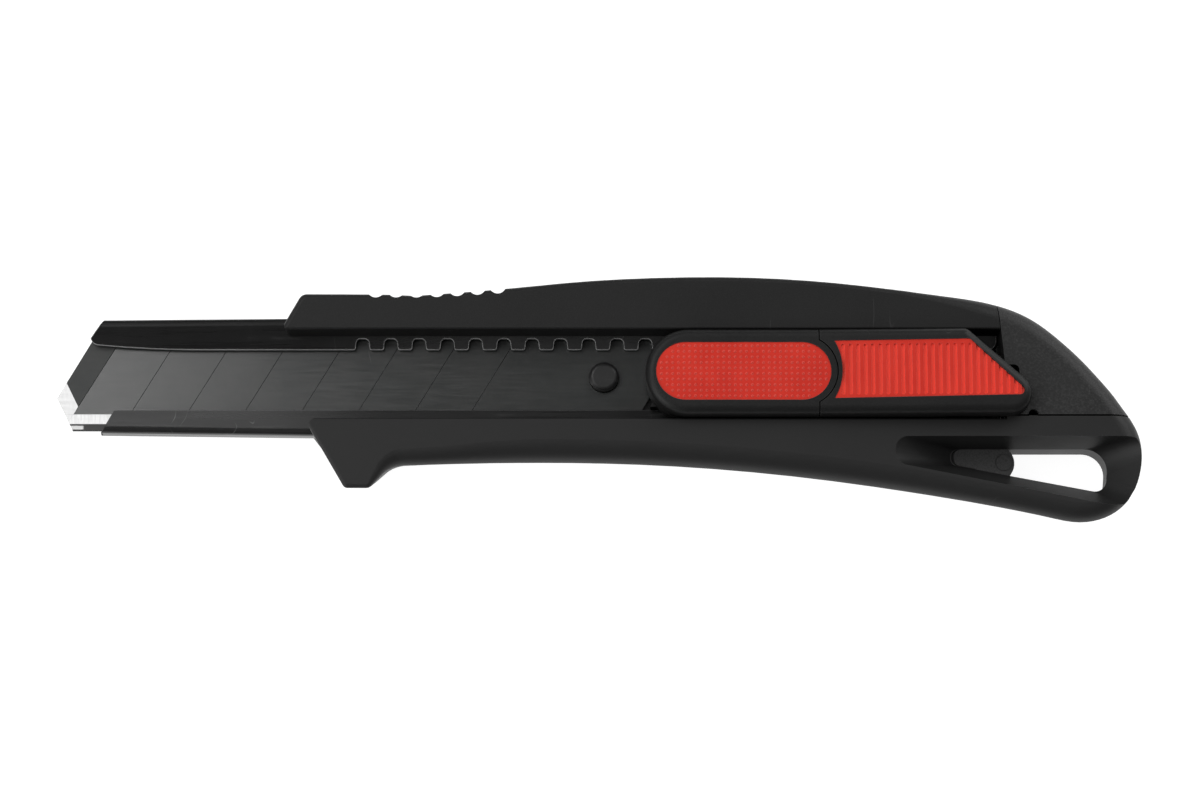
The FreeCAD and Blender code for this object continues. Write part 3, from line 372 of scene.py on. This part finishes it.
def blade_grind(s, x, y):
    """The ground parts of the blade as masks: all that is bright, the tip, the edge's second bevel.

    The last mask is 1 in front of the first score line.
    """
    edge_y = blade_low.y
    tip = Vector((blade_low.x, edge_y + 5.9 * MM, 0))
    toe = Vector((blade_low.x + TOE_LENGTH, edge_y, 0))
    tip_bevel = 2.7 * MM
    first_score = blade_low.x + 1.15 * MM
    score_lean = 1 / math.tan(math.radians(59.0))
    soft = 0.03 * MM

    ground = s.ramp(y, edge_y + BEVEL_HEIGHT + soft, edge_y + BEVEL_HEIGHT - soft)
    along = (toe - tip).normalized()
    inward = Vector((-along.y, along.x, 0))
    reach = s.math("ADD", s.times(x, inward.x), s.times(y, inward.y))
    limit = inward.dot(tip) + tip_bevel
    leaned = s.math("SUBTRACT", x, s.times(s.math("SUBTRACT", y, edge_y), score_lean))
    first = s.ramp(leaned, first_score + soft, first_score - soft)
    tip_ground = s.times(first, s.ramp(reach, limit + soft, limit - soft))
    second = s.ramp(y, edge_y + SECOND_HEIGHT + soft, edge_y + SECOND_HEIGHT - soft)
    return s.math("MAXIMUM", ground, tip_ground), tip_ground, second, first


def ground_steel(s, x, y, tip_ground, second):
    """Bare ground steel: bright strokes, a duller tip and second bevel, thin lines between them."""
    edge_y = blade_low.y
    toe_x = blade_low.x + TOE_LENGTH
    grind = s.noise(3800.0, 3.0, 0.6, s.stretched((1.0, 0.1, 1.0)))
    steel = s.mix(s.ramp(grind, 0.3, 0.7), grey(0.62), grey(0.74))
    honed = s.within(x, toe_x - 1.0 * MM, toe_x + 1.8 * MM, 0.2 * MM)
    stroke = s.within(y, edge_y + 0.35 * MM, edge_y + 1.0 * MM, 0.05 * MM)
    dark_steel = s.mix(s.times(honed, stroke), grey(0.06), grey(0.6))
    steel = s.mix(s.times(tip_ground, 0.6), steel, grey(0.36))
    steel = s.mix(second, steel, dark_steel)
    bevel_y, second_y, blur = edge_y + BEVEL_HEIGHT, edge_y + SECOND_HEIGHT, 0.02 * MM
    line = s.math(
        "MAXIMUM",
        s.within(y, bevel_y - 0.10 * MM, bevel_y - 0.02 * MM, blur),
        s.within(y, second_y - 0.05 * MM, second_y + 0.05 * MM, blur),
    )
    return s.mix(s.times(line, 0.4), steel, grey(0.12))


def blade_finish():
    """Black oxide blade, bright where it is ground: the edge's two bevels and the tip's bevel."""
    s = Shader("blade_finish")
    x, y = s.axis("X"), s.axis("Y")
    bright, tip_ground, second, first = blade_grind(s, x, y)
    rub = s.noise(3000.0, 3.0, 0.55, s.stretched((0.05, 1.0, 1.0)))
    cloud = s.noise(120.0, 4.0, 0.6)
    oxide = s.mix(s.ramp(cloud, 0.3, 0.7), (0.022, 0.024, 0.0235, 1), (0.030, 0.031, 0.030, 1))
    oxide = s.mix(s.times(scratches(s, 200.0, 0.05), 0.5), oxide, grey(0.14))
    oxide = s.mix(s.times(s.specks(300.0, 0.10, 0.030), 0.5), oxide, grey(0.2))
    steel = ground_steel(s, x, y, tip_ground, second)
    # Painted shade: in front of the first score line the blade gets more roughness and less gloss so it
    # reads darker, as the slightly bent first segment reflects less light.
    first_segment_painted_shade = s.times(first, 0.16, s.math("SUBTRACT", 1.0, bright))
    rough = s.math("ADD", s.ramp(rub, 0.25, 0.75, 0.17, 0.25), first_segment_painted_shade)
    s.set(
        Base_Color=s.mix(bright, oxide, steel),
        Metallic=bright,
        Roughness=s.math("ADD", s.times(bright, 0.16), rough),
        Specular_IOR_Level=s.ramp(first, 0.0, 1.0, 0.8, 0.35),
    )
    s.bump(rub, STREAK_DEPTH)
    return s.material


def floor_finish():
    """A white light table: it glows evenly and takes only the faintest shadow."""
    s = Shader("floor_finish")
    cloud = s.noise(3.0, 2.0, 0.5)
    s.set(
        Base_Color=s.mix(cloud, grey(0.29), grey(0.31)),
        Roughness=0.7,
        Emission_Color=WHITE,
        Emission_Strength=0.95,
    )
    return s.material


def finish_nodes():
    """Gives every carried-over node the finish of its material slot."""
    handle = moulded(
        "handle_plastic_finish",
        tone=0.006,
        grain_scale=5200.0,
        grain_depth=GRAIN_DEPTH,
        rough=0.50,
        specular=0.26,
        dust_share=0.10,
        # Painted highlight on the grip: the plastic is painted paler below -12 mm in Y.
        painted_light_y=(-12 * MM, 6 * MM),
        inset=8.0 * MM,
    )
    cap = moulded(
        "cap_plastic_finish",
        tone=0.016,
        grain_scale=2600.0,
        grain_depth=0.060 * MM,
        rough=0.50,
        specular=0.28,
        dust_share=0.08,
    )
    slider = moulded(
        "slider_plastic_finish",
        tone=0.006,
        grain_scale=4800.0,
        grain_depth=0.014 * MM,
        rough=0.46,
        specular=0.24,
        dust_share=0.05,
    )
    channel = coated_steel("black_steel_finish", tone=0.008, rough=0.28, specular=0.55, cut_above=6.85 * MM)
    finishes = {
        "handle_plastic": handle,
        "cap_plastic": cap,
        "slider_plastic": slider,
        "red_rubber": soft_red(),
        "black_steel": channel,
        "stud_black": coated_steel("stud_finish", tone=0.012, rough=0.42, specular=0.4),
        "blade_steel": blade_finish(),
        "bright_steel": bare_steel("bare_steel_finish", tone=0.62, rough=0.34),
        "spring_steel": bare_steel("spring_steel_finish", tone=0.5, rough=0.28),
    }
    slots = {p["node"]: p["material_slot"] for p in frame["record"]["subparts"]}
    for name, piece in nodes.items():
        piece.data.materials.clear()
        piece.data.materials.append(finishes[slots[name]])


def add_coil(vertices, faces, axis_x, axis_y, radius, bottom, top):
    """Adds one coil of round wire with closed ends to a mesh's lists."""
    wire, turns, steps, sides = SPRING_WIRE, 4, 40, 10
    up = Vector((0, 0, 1))
    first = len(vertices)
    rings = turns * steps + 1
    for i in range(rings):
        angle = 2 * math.pi * i / steps
        outward = Vector((math.cos(angle), math.sin(angle), 0))
        centre = Vector((axis_x, axis_y, bottom + (top - bottom) * i / (rings - 1))) + outward * radius
        for j in range(sides):
            turn = 2 * math.pi * j / sides
            vertices.append(centre + (outward * math.cos(turn) + up * math.sin(turn)) * wire)
    for i in range(rings - 1):
        ring = first + i * sides
        for j in range(sides):
            beside = (j + 1) % sides
            faces.append((ring + j, ring + beside, ring + sides + beside, ring + sides + j))
    last = first + (rings - 1) * sides
    faces.append(tuple(range(first + sides - 1, first - 1, -1)))
    faces.append(tuple(range(last, last + sides)))


def add_pad_springs():
    """The two coils under the thumb pad, built at one length and moved with the slider; the real coils
    shorten as the pad goes in.
    """
    low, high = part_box("pad_return_springs")
    outer = (high.y - low.y) / 2
    middle_y = (low.y + high.y) / 2
    vertices, faces = [], []
    for middle_x in (low.x + outer, high.x - outer):
        bottom, top = low.z + SPRING_WIRE, high.z - SPRING_WIRE
        add_coil(vertices, faces, middle_x, middle_y, outer - SPRING_WIRE, bottom, top)
    mesh = bpy.data.meshes.new("pad_springs")
    mesh.from_pydata(vertices, [], faces)
    mesh.polygons.foreach_set("use_smooth", [True] * len(mesh.polygons))
    springs = bpy.data.objects.new("pad_springs", mesh)
    bpy.context.scene.collection.objects.link(springs)
    mesh.materials.append(nodes["pad_return_springs"].data.materials[0])
    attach(springs, "slider")
    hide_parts("pad_return_springs")
    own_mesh(springs)


# ---------------------------------------------------------------- stage
def add_floor():
    """The table, just under the knife; it is seen directly and in gloss but throws no light."""
    half = FLOOR_HALF
    z = body_low.z - FLOOR_GAP
    mesh = bpy.data.meshes.new("floor")
    corners = [(-half, -half, z), (half, -half, z), (half, half, z), (-half, half, z)]
    mesh.from_pydata(corners, [], [(0, 1, 2, 3)])
    floor = bpy.data.objects.new("floor", mesh)
    bpy.context.scene.collection.objects.link(floor)
    mesh.materials.append(floor_finish())
    floor.visible_diffuse = False


def add_light(name, place, aim, size, power):
    """A rectangular area light that points from its place at its aim."""
    lamp = bpy.data.lights.new(name, "AREA")
    lamp.shape = "RECTANGLE"
    lamp.size, lamp.size_y = size
    lamp.energy = power
    holder = bpy.data.objects.new(name, lamp)
    holder.location = place
    holder.rotation_mode = "QUATERNION"
    holder.rotation_quaternion = (Vector(aim) - Vector(place)).to_track_quat("-Z", "Y")
    bpy.context.scene.collection.objects.link(holder)


def add_lights():
    """A dim room, one big softbox above the blade's end and a fill on either side."""
    world = bpy.data.worlds.new("studio")
    world.use_nodes = True
    sky = world.node_tree.nodes["Background"]
    sky.inputs["Color"].default_value = WHITE
    sky.inputs["Strength"].default_value = 0.18
    bpy.context.scene.world = world
    add_light("softbox_overhead", (-0.57, 0.42, 0.9), (-0.57, 0.4201, 0), (0.81, 0.96), 6.3)
    add_light("fill_right", (0.75, 0.75, 0.7), (0, 0, 0), (0.9, 0.9), 8.7)
    add_light("fill_left", (-0.9, -0.55, 0.6), (0, 0, 0), (0.9, 0.9), 7.0)


def add_camera():
    """Above the knife and a little towards the guard side, as the picture was taken."""
    tilt = math.radians(11.5)
    distance = 0.7
    aim = Vector((0.0, -0.0028, 0.0))
    data = bpy.data.cameras.new("camera")
    data.sensor_width = 36.0
    data.lens = 117.7
    camera = bpy.data.objects.new("camera", data)
    camera.location = aim + Vector((0, -math.sin(tilt), math.cos(tilt))) * distance
    camera.rotation_euler = (tilt, 0, 0)
    bpy.context.scene.collection.objects.link(camera)
    bpy.context.scene.camera = camera


finish_nodes()
add_pad_springs()
add_floor()
add_lights()
add_camera()
bpy.context.scene.view_settings.view_transform = "Standard"
